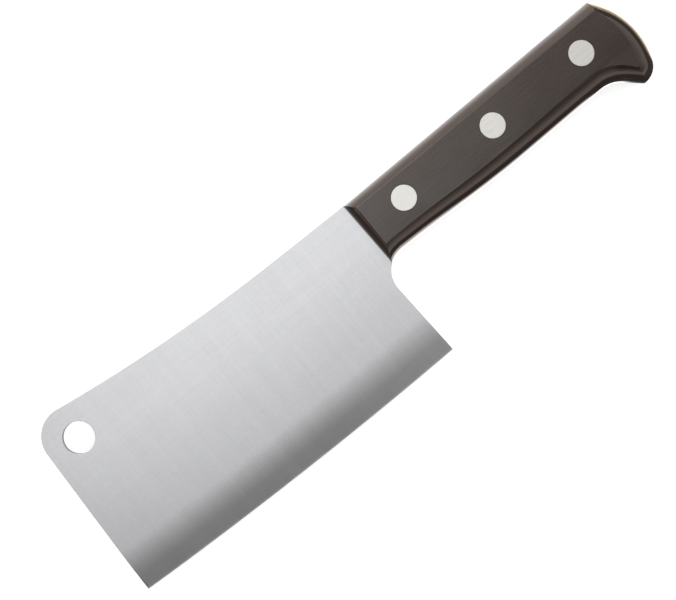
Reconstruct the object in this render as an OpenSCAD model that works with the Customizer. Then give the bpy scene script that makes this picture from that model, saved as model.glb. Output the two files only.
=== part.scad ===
// Full-tang cleaver with two riveted handle scales, lying on its side.
//
// The outlines are drawn from a datum on the handle: x = 0 where the handle starts, +X towards
// the butt, y = 0 on the line through the rivets, +Y towards the spine, z = 0 in the middle of
// the steel. Every piece is then moved so that the origin is under the middle of the whole
// cleaver, on the surface that it lies on.

/* [Blade] */
// Length from the front of the handle to the tip corner of the edge
blade_l = 152.6; // [110:0.2:240]
// Thickness of the steel, blade and tang
blade_t = 3.5; // [2:0.1:6]
// Depth of the edge below the rivet line, at its lowest
edge_drop = 57.8; // [46:0.2:90]
// Distance of the edge's lowest point ahead of the handle
edge_low = 44; // [20:1:90]
// Radius of the belly of the edge
edge_r = 2000; // [900:10:4000]
// Lean of the front edge, forward towards the edge
front_lean = 2.4; // [0:0.1:8]
// Lean of the heel, backward towards the edge
heel_lean = 2.7; // [0:0.1:8]
// Distance of the heel ahead of the handle's front, where the hollow below the handle starts
neck_gap = 3.8; // [2:0.1:6]
// Radius of the hollow between heel and handle
neck_r = 10.6; // [6:0.1:13]
// Angle at which the spine rises ahead of the handle
spine_rise = 0.7; // [0:0.1:2]
// Length of the straight stretch of spine ahead of the handle
spine_straight = 37; // [5:1:80]
// Radius of the spine's hollow sweep up to the front
spine_r = 675; // [400:5:2000]
// Radius of the top front corner
corner_r = 11.8; // [6:0.1:14]

/* [Grind] */
// Height of the ground part of the face above the edge
grind_h = 18; // [12:0.1:30]
// Height of the flat bevel above the edge
bevel_h = 6; // [2:0.1:10]
// Height of the cutting bevel
cutting_h = 0.6; // [0.4:0.1:1.8]
// Thickness of the steel at the top of the cutting bevel
shoulder_t = 0.6; // [0.3:0.05:1.4]
// Thickness that is left at the cutting edge itself
edge_t = 0.1; // [0.05:0.01:0.2]

/* [Hang hole] */
// Diameter of the hang hole
hole_d = 12.8; // [6:0.1:15]
// Distance of the hole's centre behind the tip corner
hole_inset = 16.4; // [12:0.1:30]
// Height of the hole's centre above the rivet line
hole_y = 7.7; // [0:0.1:10]

/* [Handle outline] */
// Length of the handle
handle_l = 130.3; // [115:0.1:160]
// Height of the top edge above the rivet line, at the front
top_y = 12.6; // [11:0.1:15]
// Angle at which the top edge rises towards the butt
top_rise = 0.8; // [0:0.1:2]
// Depth of the underside below the rivet line, behind the neck
grip_y = 14.6; // [13:0.05:16]
// How far the belly of the grip hangs below the neck
belly_drop = 1.65; // [0.2:0.05:3]
// Distance of the belly's lowest point behind the handle's front
belly_x = 59; // [45:1:75]
// How far the underside rises again between belly and hook
waist_rise = 0.75; // [0:0.05:1.5]
// Distance ahead of the butt at which the underside turns down into the hook
hook_run = 24.8; // [24:0.1:28]
// Radius of the turn into the hook
hook_r = 14; // [11:0.1:17]
// Slope of the hook's straight front
hook_angle = 41.5; // [37:0.5:46]
// Radius of the butt
butt_r = 33; // [31:0.1:36]
// Depth of the butt's centre below the rivet line
butt_y = 7.5; // [6.5:0.1:9]
// Radius of the round lower end of the butt
nose_r = 8.3; // [8:0.1:10]
// Angle below level at which the butt passes into its round lower end
nose_angle = 20.5; // [17:0.5:25]
// Lean of the handle's front end
front_end_lean = 1.9; // [0:0.1:4]

/* [Handle section] */
// Thickness of the handle over both scales
handle_t = 18; // [15:0.1:26]
// Width of the crown along the front end
front_strip = 3; // [1.5:0.1:4]
// Width of the crown along the top edge, at the front
top_strip_front = 4.3; // [2:0.1:5]
// Width of the crown along the top edge, at the butt
top_strip_butt = 4.9; // [2:0.1:5]
// Width of the crown along the underside, at the neck
under_strip_neck = 5.5; // [3:0.1:6]
// Width of the crown along the underside, where the hook begins
under_strip_waist = 6.6; // [3:0.1:7]
// Width of the crown along the underside, at the straight front of the hook
under_strip_hook = 5.2; // [3:0.1:5.5]
// Width of the crown at the tip of the hook
tip_strip = 6.6; // [4:0.1:7.5]
// Width of the crown round the butt, at the top corner
butt_strip_top = 3.4; // [3:0.1:5.5]
// Width of the crown round the butt, where its round lower end begins
butt_strip_nose = 6.5; // [4:0.1:7]
// How far the crown turns over before it meets the flat
crown_turn = 62; // [45:1:80]

/* [Rivets] */
// Diameter of the rivet heads
head_d = 10; // [7:0.1:12]
// Thickness of the rivet heads
head_t = 2; // [1.2:0.1:3]
// Distance of the front rivet behind the handle's front
front_rivet_x = 19.5; // [14:0.1:26]
// Distance of the rear rivet ahead of the butt
rear_rivet_run = 23.1; // [20:0.1:30]
// Outer diameter of the tube half
tube_d = 5.6; // [4.6:0.1:6.5]
// Diameter of the pin half
pin_d = 3.6; // [2.4:0.1:4]
// Gap between the tube's mouth and the pin half's head
mouth_gap = 1.2; // [0.4:0.1:2.5]
// Gap between the pin's end and the floor of the tube
floor_gap = 0.8; // [0.3:0.1:2]
// Depth of the tube's floor above its own head
floor_t = 1.6; // [0.5:0.1:3]

/* [Fits] */
// Clearance all round between a rivet and its holes
rivet_clearance = 0.05; // [0.02:0.01:0.2]
// Clearance all round between pin and tube
pin_clearance = 0.02; // [0.01:0.01:0.1]

/* [Hidden] */
$fn = 72;

// Overrun of cuts past the faces that they cut
overrun = 1;

// Steps along the curves
neck_steps = 6;
wave_steps = 12;
hook_steps = 7;
nose_steps = 9;
butt_steps = 12;
crown_steps = 9;
corner_steps = 12;
spine_steps = 12;
roll_steps = 8;
belt_facets = 720;

// Centre of the arc that the edge follows
edge_c = [-edge_low, edge_r - edge_drop];
// Thickness of one scale
scale_t = (handle_t - blade_t) / 2;
// Centres of the butt and of its round lower end
butt_c = [handle_l - butt_r, -butt_y];
nose_c = along(butt_c, butt_r - nose_r, -nose_angle);
// Where the underside turns down, and the centre of that turn
waist_y = -grip_y - belly_drop + waist_rise;
hook_c = [handle_l - hook_run, waist_y - hook_r];
// The heel is a line through this point
heel_p = [-neck_gap, -grip_y - neck_r];
// Centre of the hollow between heel and handle
neck_c = heel_p + [neck_r / cos(heel_lean), 0];
// Places of the rivets along the handle
rear_rivet_x = handle_l - rear_rivet_run;
middle_rivet_x = (front_rivet_x + rear_rivet_x) / 2;
rivet_xs = [front_rivet_x, middle_rivet_x, rear_rivet_x];

// The point at a distance and a direction from another point
function along(p, distance, angle) = p + distance * [cos(angle), sin(angle)];

// Direction from one point to another
function direction(p, q) = atan2(q[1] - p[1], q[0] - p[0]);

// Value at a share of the way between two values
function between(a, b, share) = a + (b - a) * share;

// Smooth step from 0 to 1
function ease(share) = (1 - cos(180 * share)) / 2;

// Where a line through p, running at an angle, enters (way = -1) or leaves (way = 1) a circle
function line_on_circle(p, angle, centre, r, way) =
    let (
        run = [cos(angle), sin(angle)],
        back = p - centre,
        mid = back * run
    )
    p + run * (way * sqrt(mid * mid - back * back + r * r) - mid);

// Where two lines meet, each given by a point and an angle
function line_on_line(p, angle, q, other) =
    along(p, ((q[0] - p[0]) * sin(other) - (q[1] - p[1]) * cos(other)) / sin(other - angle), angle);

// A list without its last entry
function but_last(list) = [for (i = [0:len(list) - 2]) list[i]];

// Points of an arc whose radius eases from r1 to r2, both ends included
function arc(centre, r1, r2, from, to, steps) =
    [for (i = [0:steps]) along(centre, between(r1, r2, i / steps), between(from, to, i / steps))];

// The outline of the handle drawn in by a share of its crown: 0 is the outline at the steel,
// 1 is the crease round the flat. It is made of three runs, and each has its own function.
// The underside runs from the front end back to the tip of the hook.
function front_angle(share) = -90 + front_end_lean * (1 - share);
function front_point(share) = [front_strip * share, 0];
function neck_start(share) = line_on_circle(
    front_point(share), front_angle(share), neck_c, neck_r + under_strip_neck * share, -1);
function neck_run(share) =
    let (r = neck_r + under_strip_neck * share)
    arc(neck_c, r, r, direction(neck_c, neck_start(share)), 90, neck_steps);
function wave_y(x) =
    x < belly_x
    ? -grip_y - belly_drop * ease((x - neck_c[0]) / (belly_x - neck_c[0]))
    : -grip_y - belly_drop + waist_rise * ease((x - belly_x) / (hook_c[0] - belly_x));
function wave_run(share) = [
    for (i = [1:wave_steps - 1])
        let (
            x = between(neck_c[0], hook_c[0], i / wave_steps),
            strip = between(under_strip_neck, under_strip_waist, i / wave_steps)
        )
        [x, wave_y(x) + strip * share]
];
function hook_turn(share) = arc(
    hook_c, hook_r + under_strip_waist * share, hook_r + under_strip_hook * share,
    90, 90 - hook_angle, hook_steps);
tip_p = line_on_circle(
    along(hook_c, hook_r, 90 - hook_angle), -hook_angle, nose_c, nose_r, 1);
function hook_tip(share) = along(tip_p, tip_strip * share, direction(tip_p, nose_c));
function under_run(share) =
    concat(neck_run(share), wave_run(share), hook_turn(share), [hook_tip(share)]);

// The butt runs from the tip of the hook up to the top corner, near which its crown narrows.
function nose_run(share) =
    let (from = direction(nose_c, tip_p))
    [
        for (i = [1:nose_steps])
            along(
                nose_c,
                nose_r - between(tip_strip, butt_strip_nose, i / nose_steps) * share,
                between(from, -nose_angle, i / nose_steps))
    ];
function top_angle(share) =
    top_rise - atan((top_strip_butt - top_strip_front) / handle_l) * share;
function top_start(share) = [0, top_y - top_strip_front * share];
function top_corner(share) = line_on_circle(
    top_start(share), top_angle(share), butt_c, butt_r - butt_strip_top * share, 1);
function butt_run(share) =
    let (to = direction(butt_c, top_corner(share)))
    [
        for (i = [1:butt_steps])
            along(
                butt_c,
                butt_r - between(butt_strip_nose, butt_strip_top, pow(i / butt_steps, 2)) * share,
                between(-nose_angle, to, i / butt_steps))
    ];

// The top edge runs forward again, with a point above each point of the underside.
function front_corner(share) = line_on_line(
    front_point(share), front_angle(share), top_start(share), top_angle(share));
function top_run(share) =
    let (
        below = under_run(share),
        last = len(below) - 1,
        corner = top_corner(share),
        front = front_corner(share)
    )
    [
        for (i = [1:last])
            let (way = (below[last - i][0] - below[0][0]) / (below[last][0] - below[0][0]))
            between(front, corner, way)
    ];

function handle_ring(share) = concat(under_run(share), nose_run(share), butt_run(share), top_run(share));

// Outline of the steel. It runs down past the edge, where the grind ends it.
front_p = line_on_circle([-blade_l, 0], -90, edge_c, edge_r, 1);
spine_c = along(along([0, top_y], spine_straight, 180 - spine_rise), spine_r, 90 - spine_rise);
corner_c = line_on_circle(
    front_p + [corner_r / cos(front_lean), 0], 90 - front_lean, spine_c, spine_r + corner_r, -1);
heel_foot = line_on_line(heel_p, heel_lean - 90, [0, -edge_drop - overrun], 0);
front_foot = line_on_line(front_p, 90 - front_lean, [0, -edge_drop - overrun], 0);
neck_front = arc(
    neck_c, neck_r, neck_r, 180 + heel_lean, direction(neck_c, neck_start(0)), neck_steps);
spine_run = arc(
    spine_c, spine_r, spine_r, -90 - spine_rise, direction(spine_c, corner_c), spine_steps);
corner_run = arc(
    corner_c, corner_r, corner_r, direction(corner_c, spine_c), 180 - front_lean, corner_steps);
steel_outline = concat(
    [heel_foot], but_last(neck_front), handle_ring(0), but_last(spine_run), corner_run, [front_foot]);

// Half of the steel's section, as [height above the edge, distance from the mid-plane]. The
// ground face rolls over from the flat of the blade to a straight bevel.
roll_h = grind_h - bevel_h;
bevel_slope = (blade_t - shoulder_t) / (roll_h + 2 * (bevel_h - cutting_h));
function grind_points() = concat(
    [
        for (i = [0:roll_steps])
            let (down = roll_h * i / roll_steps)
            [grind_h - down, blade_t / 2 - bevel_slope * down * down / (2 * roll_h)]
    ],
    [[cutting_h, shoulder_t / 2], [0, edge_t / 2]]
);

// The origin goes under the middle of the whole cleaver.
middle_x = (handle_l - blade_l) / 2;
middle_y = (corner_c[1] + corner_r - edge_drop) / 2;
module placed() translate([-middle_x, -middle_y, handle_t / 2]) children();

// Blade and tang, one piece of steel

// The steel's section, swept along the arc of the edge. It reaches over the whole cleaver.
module ground_plate() {
    reach = corner_c[1] + corner_r + edge_drop + overrun;
    sweep = 2 * asin((handle_l + blade_l) / edge_r);
    side = grind_points();
    other_side = [for (i = [len(side) - 1:-1:0]) [side[i][0], -side[i][1]]];
    section = concat([[reach, blade_t / 2]], side, other_side, [[reach, -blade_t / 2]]);
    translate([edge_c[0], edge_c[1], 0])
        rotate(270 - sweep / 2)
            rotate_extrude(angle = sweep, $fn = belt_facets)
                polygon([for (p = section) [edge_r - p[0], p[1]]]);
}

module blade()
    color("#c8c9cb")
        placed()
            difference() {
                intersection() {
                    translate([0, 0, -blade_t / 2 - overrun])
                        linear_extrude(blade_t + 2 * overrun)
                            polygon(steel_outline);
                    ground_plate();
                }
                translate([hole_inset - blade_l, hole_y, -blade_t / 2 - overrun])
                    cylinder(d = hole_d, h = blade_t + 2 * overrun);
                for (x = rivet_xs)
                    translate([x, 0, -blade_t / 2 - overrun])
                        cylinder(d = tube_d + 2 * rivet_clearance, h = blade_t + 2 * overrun);
            }

// Handle scales

// A scale on the steel, before its holes are drilled. Rings of the outline, drawn in step by
// step, follow a crown that ends in a crease round the flat.
module scale_blank() {
    turns = [for (k = [0:crown_steps]) crown_turn * k / crown_steps];
    shares = [for (a = turns) (1 - cos(a)) / (1 - cos(crown_turn))];
    heights = [for (a = turns) scale_t * sin(a) / sin(crown_turn)];
    rings = [for (k = [0:crown_steps]) [for (p = handle_ring(shares[k])) [p[0], p[1], heights[k]]]];
    n = len(rings[0]);
    under_n = len(under_run(0));
    corner_i = n - under_n;
    walls = [
        for (k = [0:crown_steps - 1])
            for (i = [0:n - 1])
                let (a = k * n + i, b = k * n + (i + 1) % n)
                each [[a, a + n, b], [b, a + n, b + n]]
    ];
    strips = [
        for (i = [0:under_n - 2])
            let (above = n - 1 - i)
            each [[i, i + 1, above], [i + 1, above - 1, above]]
    ];
    fan = [for (i = [under_n - 1:corner_i - 2]) [i, i + 1, corner_i]];
    floor_faces = concat(strips, fan);
    top = crown_steps * n;
    roof_faces = [for (f = floor_faces) [top + f[0], top + f[2], top + f[1]]];
    translate([0, 0, blade_t / 2])
        polyhedron(points = [for (r = rings) each r], faces = concat(walls, floor_faces, roof_faces));
}

module drilled_scale()
    difference() {
        scale_blank();
        for (x = rivet_xs)
            translate([x, 0, 0]) {
                cylinder(d = tube_d + 2 * rivet_clearance, h = handle_t / 2 + overrun);
                translate([0, 0, handle_t / 2 - head_t])
                    cylinder(d = head_d + 2 * rivet_clearance, h = head_t + overrun);
            }
    }

module left_scale() color("#4b4644") placed() drilled_scale();
module right_scale() color("#4b4644") placed() mirror([0, 0, 1]) drilled_scale();

// Rivets, each a pin that is pressed into a tube

head_floor = handle_t / 2 - head_t;
tube_top = head_floor - mouth_gap;
tube_floor = floor_t - head_floor;

module rivet_tube(x)
    color("#dddad2")
        placed()
            translate([x, 0, 0])
                difference() {
                    union() {
                        translate([0, 0, -handle_t / 2])
                            cylinder(d = head_d, h = head_t);
                        translate([0, 0, -head_floor - head_t / 2])
                            cylinder(d = tube_d, h = head_floor + head_t / 2 + tube_top);
                    }
                    translate([0, 0, tube_floor])
                        cylinder(d = pin_d + 2 * pin_clearance, h = tube_top - tube_floor + overrun);
                }

module rivet_pin(x)
    color("#dddad2")
        placed()
            translate([x, 0, 0]) {
                translate([0, 0, head_floor])
                    cylinder(d = head_d, h = head_t);
                translate([0, 0, tube_floor + floor_gap])
                    cylinder(d = pin_d, h = head_floor + head_t / 2 - tube_floor - floor_gap);
            }

module front_rivet_pin() rivet_pin(front_rivet_x);
module front_rivet_tube() rivet_tube(front_rivet_x);
module middle_rivet_pin() rivet_pin(middle_rivet_x);
module middle_rivet_tube() rivet_tube(middle_rivet_x);
module rear_rivet_pin() rivet_pin(rear_rivet_x);
module rear_rivet_tube() rivet_tube(rear_rivet_x);

blade();
left_scale();
right_scale();
front_rivet_pin();
front_rivet_tube();
middle_rivet_pin();
middle_rivet_tube();
rear_rivet_pin();
rear_rivet_tube();
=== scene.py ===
import math

import bmesh
import bpy
from mathutils import Matrix, Vector


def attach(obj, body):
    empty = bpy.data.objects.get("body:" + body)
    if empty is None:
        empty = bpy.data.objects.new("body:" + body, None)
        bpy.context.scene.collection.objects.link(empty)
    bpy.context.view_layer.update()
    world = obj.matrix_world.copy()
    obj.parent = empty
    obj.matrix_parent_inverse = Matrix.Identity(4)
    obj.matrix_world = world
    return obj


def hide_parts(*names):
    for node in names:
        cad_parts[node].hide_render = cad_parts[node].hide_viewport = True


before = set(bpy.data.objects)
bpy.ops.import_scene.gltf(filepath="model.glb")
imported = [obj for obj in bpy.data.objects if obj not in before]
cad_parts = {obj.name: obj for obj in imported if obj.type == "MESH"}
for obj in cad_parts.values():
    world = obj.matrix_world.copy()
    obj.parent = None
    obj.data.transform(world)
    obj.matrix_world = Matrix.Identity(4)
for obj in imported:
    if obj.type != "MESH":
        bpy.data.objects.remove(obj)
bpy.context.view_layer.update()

bl_info = {
    "name": "Cleaver",
    "version": (1, 0, 0),
    "blender": (4, 5, 0),
    "location": "3D View > Sidebar > Cleaver",
    "description": "A full-tang cleaver with riveted handle scales, and the studio that it lies in",
    "category": "Add Mesh",
}


# Properties

def length(name, description, default):
    """A length in metres that the panel shows."""
    return bpy.props.FloatProperty(
        name=name, description=description, default=default, min=0.0, precision=5, unit="LENGTH")


def angle(name, description, degrees):
    """An angle that is written in degrees and kept in radians."""
    return bpy.props.FloatProperty(
        name=name, description=description, default=math.radians(degrees), subtype="ANGLE")


def colour(name, description, default):
    """A colour in linear light."""
    return bpy.props.FloatVectorProperty(
        name=name, description=description, default=default, size=3, min=0.0, max=1.0, subtype="COLOR")


class CleaverBladeSizes(bpy.types.PropertyGroup):
    """Sizes of the blade and the tang, one piece of steel."""
    blade: length("Blade", "Front of the handle to the tip corner of the edge", 0.1526)
    thickness: length("Thickness", "Thickness of the steel", 0.0035)
    edge_drop: length("Edge drop", "Depth of the edge below the rivet line, at its lowest", 0.0578)
    edge_low: length("Edge low point", "Distance of the edge's lowest point ahead of the handle", 0.044)
    edge_radius: length("Edge radius", "Radius of the belly of the edge", 2.0)
    front_lean: angle("Front lean", "Lean of the front edge, forward towards the edge", 2.4)
    heel_lean: angle("Heel lean", "Lean of the heel, backward towards the edge", 2.7)
    neck_gap: length("Neck gap", "Distance of the heel ahead of the handle's front", 0.0038)
    neck_radius: length("Neck radius", "Radius of the hollow between heel and handle", 0.0106)
    spine_rise: angle("Spine rise", "Angle at which the spine rises ahead of the handle", 0.7)
    spine_straight: length("Straight spine", "Straight stretch of spine ahead of the handle", 0.037)
    spine_radius: length("Spine radius", "Radius of the spine's hollow sweep up to the front", 0.675)
    corner_radius: length("Corner radius", "Radius of the top front corner", 0.0118)
    grind: length("Grind", "Height of the ground part of the face above the edge", 0.018)
    bevel: length("Bevel", "Height of the flat bevel above the edge", 0.006)
    cutting: length("Cutting bevel", "Height of the cutting bevel", 0.0006)
    shoulder: length("Shoulder", "Thickness of the steel at the top of the cutting bevel", 0.0006)
    edge: length("Edge", "Thickness that is left at the cutting edge itself", 0.0001)
    hole_width: length("Hole", "Diameter of the hang hole", 0.0128)
    hole_inset: length("Hole inset", "Distance of the hole's centre behind the tip corner", 0.0164)
    hole_height: length("Hole height", "Height of the hole's centre above the rivet line", 0.0077)
    edge_break: length("Edge break", "Width of the rounding along the spine, front and heel", 0.0001)
    hole_break: length("Hole break", "Width of the rounding round the hang hole", 0.00015)


class CleaverHandleSizes(bpy.types.PropertyGroup):
    """Sizes of the handle's outline, which the tang and both scales share."""
    handle: length("Handle", "Length of the handle", 0.1303)
    height: length("Thickness", "Thickness of the handle over both scales", 0.018)
    top: length("Top", "Height of the top edge above the rivet line, at the front", 0.0126)
    top_rise: angle("Top rise", "Angle at which the top edge rises towards the butt", 0.8)
    grip: length("Grip", "Depth of the underside below the rivet line, behind the neck", 0.0146)
    belly_drop: length("Belly drop", "How far the belly of the grip hangs below the neck", 0.00165)
    belly_place: length("Belly place", "Distance of the belly behind the handle's front", 0.059)
    waist_rise: length("Waist rise", "How far the underside rises between belly and hook", 0.00075)
    hook_run: length("Hook run", "Where the underside turns into the hook, ahead of the butt", 0.0248)
    hook_radius: length("Hook radius", "Radius of the turn into the hook", 0.014)
    hook_angle: angle("Hook angle", "Slope of the hook's straight front", 41.5)
    butt_radius: length("Butt radius", "Radius of the butt", 0.033)
    butt_depth: length("Butt depth", "Depth of the butt's centre below the rivet line", 0.0075)
    nose_radius: length("Nose radius", "Radius of the round lower end of the butt", 0.0083)
    nose_angle: angle("Nose angle", "Where the butt passes into its round lower end", 20.5)
    front_lean: angle("Front lean", "Lean of the handle's front end", 1.9)
    crease_break: length("Crease break", "Width of the rounding along the creases of a scale", 0.00015)


class CleaverRivetSizes(bpy.types.PropertyGroup):
    """Sizes of the rivets, each a pin that is pressed into a tube."""
    head: length("Head", "Diameter of the rivet heads", 0.01)
    head_thickness: length("Head thickness", "Thickness of the rivet heads", 0.002)
    front_place: length("Front rivet", "Distance of the front rivet behind the handle's front", 0.0195)
    rear_run: length("Rear rivet", "Distance of the rear rivet ahead of the butt", 0.0231)
    tube: length("Tube", "Outer diameter of the tube half", 0.0056)
    pin: length("Pin", "Diameter of the pin half", 0.0036)
    mouth_gap: length("Mouth gap", "Gap between the tube's mouth and the pin half's head", 0.0012)
    floor_gap: length("Floor gap", "Gap between the pin's end and the floor of the tube", 0.0008)
    floor: length("Floor", "Depth of the tube's floor above its own head", 0.0016)
    hole_clearance: length("Hole clearance", "Clearance round a tube in the tang", 0.00005)
    pin_clearance: length("Pin clearance", "Clearance all round between pin and tube", 0.00002)
    rim: length("Rim", "Width of the rounded rim of a head", 0.00005)
    pin_tip: length("Pin tip", "Width of the bevel round the pin's end", 0.0002)


class CleaverFinishes(bpy.types.PropertyGroup):
    """Colours of the steel, the scales and the rivets."""
    steel: colour("Steel", "The flat of the blade", (0.631, 0.633, 0.648))
    # The ground part is darker than the flat partly by its coarser finish and partly by painted shade
    ground_steel: colour("Ground steel", "The ground part above the edge", (0.582, 0.58, 0.582))
    scale: colour("Scale", "The plastic of the handle", (0.027, 0.0185, 0.0145))
    scale_dust: colour("Sanding marks", "The paler haze on the sanded plastic", (0.0775, 0.0735, 0.0695))
    rivet: colour("Rivet", "The heads of the rivets", (0.728, 0.712, 0.673))


class CleaverStudio(bpy.types.PropertyGroup):
    """Camera, floor and light."""
    camera_height: length("Camera", "Height of the camera above the middle of the steel", 0.7)
    camera_side: bpy.props.FloatVectorProperty(
        name="Camera place", description="Point on the cleaver under the camera",
        default=(-0.01368, 0.003619), size=2, subtype="XYZ", unit="LENGTH")
    camera_turn: angle("Camera turn", "Turn of the picture against the handle", -39.19)
    field: length("Field", "Width of the picture at the middle of the steel", 0.2623)
    floor_width: length("Floor", "Width of the floor", 12.0)


GROUPS = {
    "cleaver_blade": CleaverBladeSizes,
    "cleaver_handle": CleaverHandleSizes,
    "cleaver_rivets": CleaverRivetSizes,
    "cleaver_finishes": CleaverFinishes,
    "cleaver_studio": CleaverStudio,
}


# Drawing in the plane of the blade

def spot(x, y):
    """A point in the plane of the blade."""
    return Vector((x, y, 0.0))


def polar(centre, distance, turn):
    """The point at a distance and a direction from another point."""
    return centre + distance * spot(math.cos(turn), math.sin(turn))


def bearing(start, end):
    """Direction from one point to another."""
    return math.atan2(end.y - start.y, end.x - start.x)


def ease(way):
    """Smooth step from 0 to 1."""
    return (1.0 - math.cos(math.pi * way)) / 2.0


def line_on_circle(point, turn, centre, radius, way):
    """Where a line through a point enters (way -1) or leaves (way 1) a circle."""
    run = spot(math.cos(turn), math.sin(turn))
    back = point - centre
    middle = back.dot(run)
    return point + run * (way * math.sqrt(middle ** 2 - back.length_squared + radius ** 2) - middle)


def line_on_line(point, turn, other, other_turn):
    """Where two lines meet, each given by a point and a direction."""
    gap = point - other
    reach = gap.x * math.sin(other_turn) - gap.y * math.cos(other_turn)
    return polar(point, reach / math.sin(turn - other_turn), turn)


def spin(bm, geom, centre, sweep, steps, closed=False):
    """Sweeps geometry about an upright axis and gives its last copy."""
    return bmesh.ops.spin(
        bm, geom=geom, cent=centre, axis=(0.0, 0.0, 1.0), dvec=(0.0, 0.0, 0.0), angle=sweep,
        steps=steps, use_merge=closed, use_duplicate=False)["geom_last"]


def polyline(bm, points):
    """A chain of edges through points, as geometry to sweep."""
    verts = [bm.verts.new(point) for point in points]
    return verts + [bm.edges.new(pair) for pair in zip(verts, verts[1:])]


class Pen:
    """Draws a chain of edges from a vertex, by lines and by spun arcs."""

    def __init__(self, bm, vert):
        self.bm = bm
        self.vert = vert

    def line(self, point):
        """A straight edge to a point in the pen's own plane."""
        new = bmesh.ops.extrude_vert_indiv(self.bm, verts=[self.vert])["verts"][0]
        new.co = (point.x, point.y, self.vert.co.z)
        self.vert = new

    def arc(self, centre, sweep, steps):
        """An arc about a centre, from where the pen stands."""
        last = spin(self.bm, [self.vert], (centre.x, centre.y, self.vert.co.z), sweep, steps)
        self.vert = [part for part in last if isinstance(part, bmesh.types.BMVert)][0]


class Plan:
    """Points of the outline that follow from the sizes, with the rivet line as the X axis."""

    def __init__(self, scene):
        self.blade = scene.cleaver_blade
        self.handle = scene.cleaver_handle
        self.rivets = scene.cleaver_rivets
        b, h = self.blade, self.handle
        self.edge_centre = spot(-b.edge_low, b.edge_radius - b.edge_drop)
        self.front_foot = line_on_circle(
            spot(-b.blade, 0.0), -math.pi / 2, self.edge_centre, b.edge_radius, 1)
        self.front_turn = math.pi / 2 - b.front_lean
        self.heel_turn = b.heel_lean - math.pi / 2
        self.heel_point = spot(-b.neck_gap, -h.grip - b.neck_radius)
        self.neck_centre = self.heel_point + spot(b.neck_radius / math.cos(b.heel_lean), 0.0)
        self.neck_start = line_on_circle(
            spot(0.0, 0.0), h.front_lean - math.pi / 2, self.neck_centre, b.neck_radius, -1)
        self.waist = -h.grip - h.belly_drop + h.waist_rise
        self.hook_centre = spot(h.handle - h.hook_run, self.waist - h.hook_radius)
        self.butt_centre = spot(h.handle - h.butt_radius, -h.butt_depth)
        self.nose_centre = polar(self.butt_centre, h.butt_radius - h.nose_radius, -h.nose_angle)
        self.hook_turn = math.pi / 2 - h.hook_angle
        self.tip = line_on_circle(
            polar(self.hook_centre, h.hook_radius, self.hook_turn), -h.hook_angle,
            self.nose_centre, h.nose_radius, 1)
        top_start = spot(0.0, h.top)
        self.top_corner = line_on_circle(top_start, h.top_rise, self.butt_centre, h.butt_radius, 1)
        self.front_corner = line_on_line(
            spot(0.0, 0.0), h.front_lean - math.pi / 2, top_start, h.top_rise)
        self.spine_centre = polar(
            polar(top_start, b.spine_straight, math.pi - b.spine_rise),
            b.spine_radius, math.pi / 2 - b.spine_rise)
        self.corner_centre = line_on_circle(
            self.front_foot + spot(b.corner_radius / math.cos(b.front_lean), 0.0),
            self.front_turn, self.spine_centre, b.spine_radius + b.corner_radius, -1)
        rear = h.handle - self.rivets.rear_run
        front = self.rivets.front_place
        self.rivet_places = {"front": front, "middle": (front + rear) / 2, "rear": rear}
        top = self.corner_centre.y + b.corner_radius
        # From the rivet line to the frame, whose origin is under the middle of the whole cleaver
        self.to_frame = Matrix.Translation(
            ((b.blade - h.handle) / 2, (b.edge_drop - top) / 2, h.height / 2))
        self.shift = self.to_frame.translation

    def wave(self, x):
        """Height of the underside between neck and hook."""
        h = self.handle
        if x < h.belly_place:
            way = (x - self.neck_centre.x) / (h.belly_place - self.neck_centre.x)
            return -h.grip - h.belly_drop * ease(way)
        way = (x - h.belly_place) / (self.hook_centre.x - h.belly_place)
        return -h.grip - h.belly_drop + h.waist_rise * ease(way)

    def half_thickness(self, above_edge):
        """Half the steel's thickness at a height above the edge."""
        b = self.blade
        roll = b.grind - b.bevel
        slope = (b.thickness - b.shoulder) / (roll + 2 * (b.bevel - b.cutting))
        if above_edge >= b.bevel:
            down = b.grind - above_edge
            return b.thickness / 2 - slope * down ** 2 / (2 * roll)
        if above_edge >= b.cutting:
            return b.shoulder / 2 + slope * (above_edge - b.cutting)
        return b.edge / 2 + (b.shoulder - b.edge) / 2 * above_edge / b.cutting


# Steps along the curves of the steel, round the hang hole and round the rivets
ROLL_STEPS = 14
EDGE_STEPS = 80
NECK_STEPS = 6
WAVE_STEPS = 12
HOOK_STEPS = 7
NOSE_STEPS = 9
BUTT_STEPS = 12
CORNER_STEPS = 24
SPINE_STEPS = 24
HOLE_STEPS = 96
RIVET_STEPS = 96
# Angle at which two faces stop being shaded as one
SHARP_TURN = math.radians(50)
# Turn from which an edge of a scale is a crease, and turn below which its faces are one
CREASE_TURN = math.radians(16)
LEVEL_TURN = math.radians(0.3)
# Distance within which two points are one
WELD = 1e-7
# The ground face is spun this much further than from its lowest point to the front, and then cut
SPIN_OVERRUN = 1.1
# Share of the neck's radius ahead of its centre, up to which the steel's rim is rounded
RIM_END_SHARE = 0.45


def everything(bm):
    """All the geometry of a bmesh."""
    return bm.verts[:] + bm.edges[:] + bm.faces[:]


def close_up(bm):
    """Merges doubles and turns all faces outward."""
    bmesh.ops.remove_doubles(bm, verts=bm.verts, dist=WELD)
    bmesh.ops.recalc_face_normals(bm, faces=bm.faces[:])


def shade_by_turn(bm):
    """Shades two faces as one where they turn little."""
    for edge in bm.edges:
        edge.smooth = edge.calc_face_angle(0.0) < SHARP_TURN


def new_object(name, data):
    """An object in the scene."""
    made = bpy.data.objects.new(name, data)
    bpy.context.scene.collection.objects.link(made)
    return made


def mesh_object(bm, name, material):
    """An object of one material from a bmesh, which is used up."""
    mesh = bpy.data.meshes.new(name)
    bm.to_mesh(mesh)
    bm.free()
    mesh.materials.append(material)
    return new_object(name, mesh)


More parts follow.
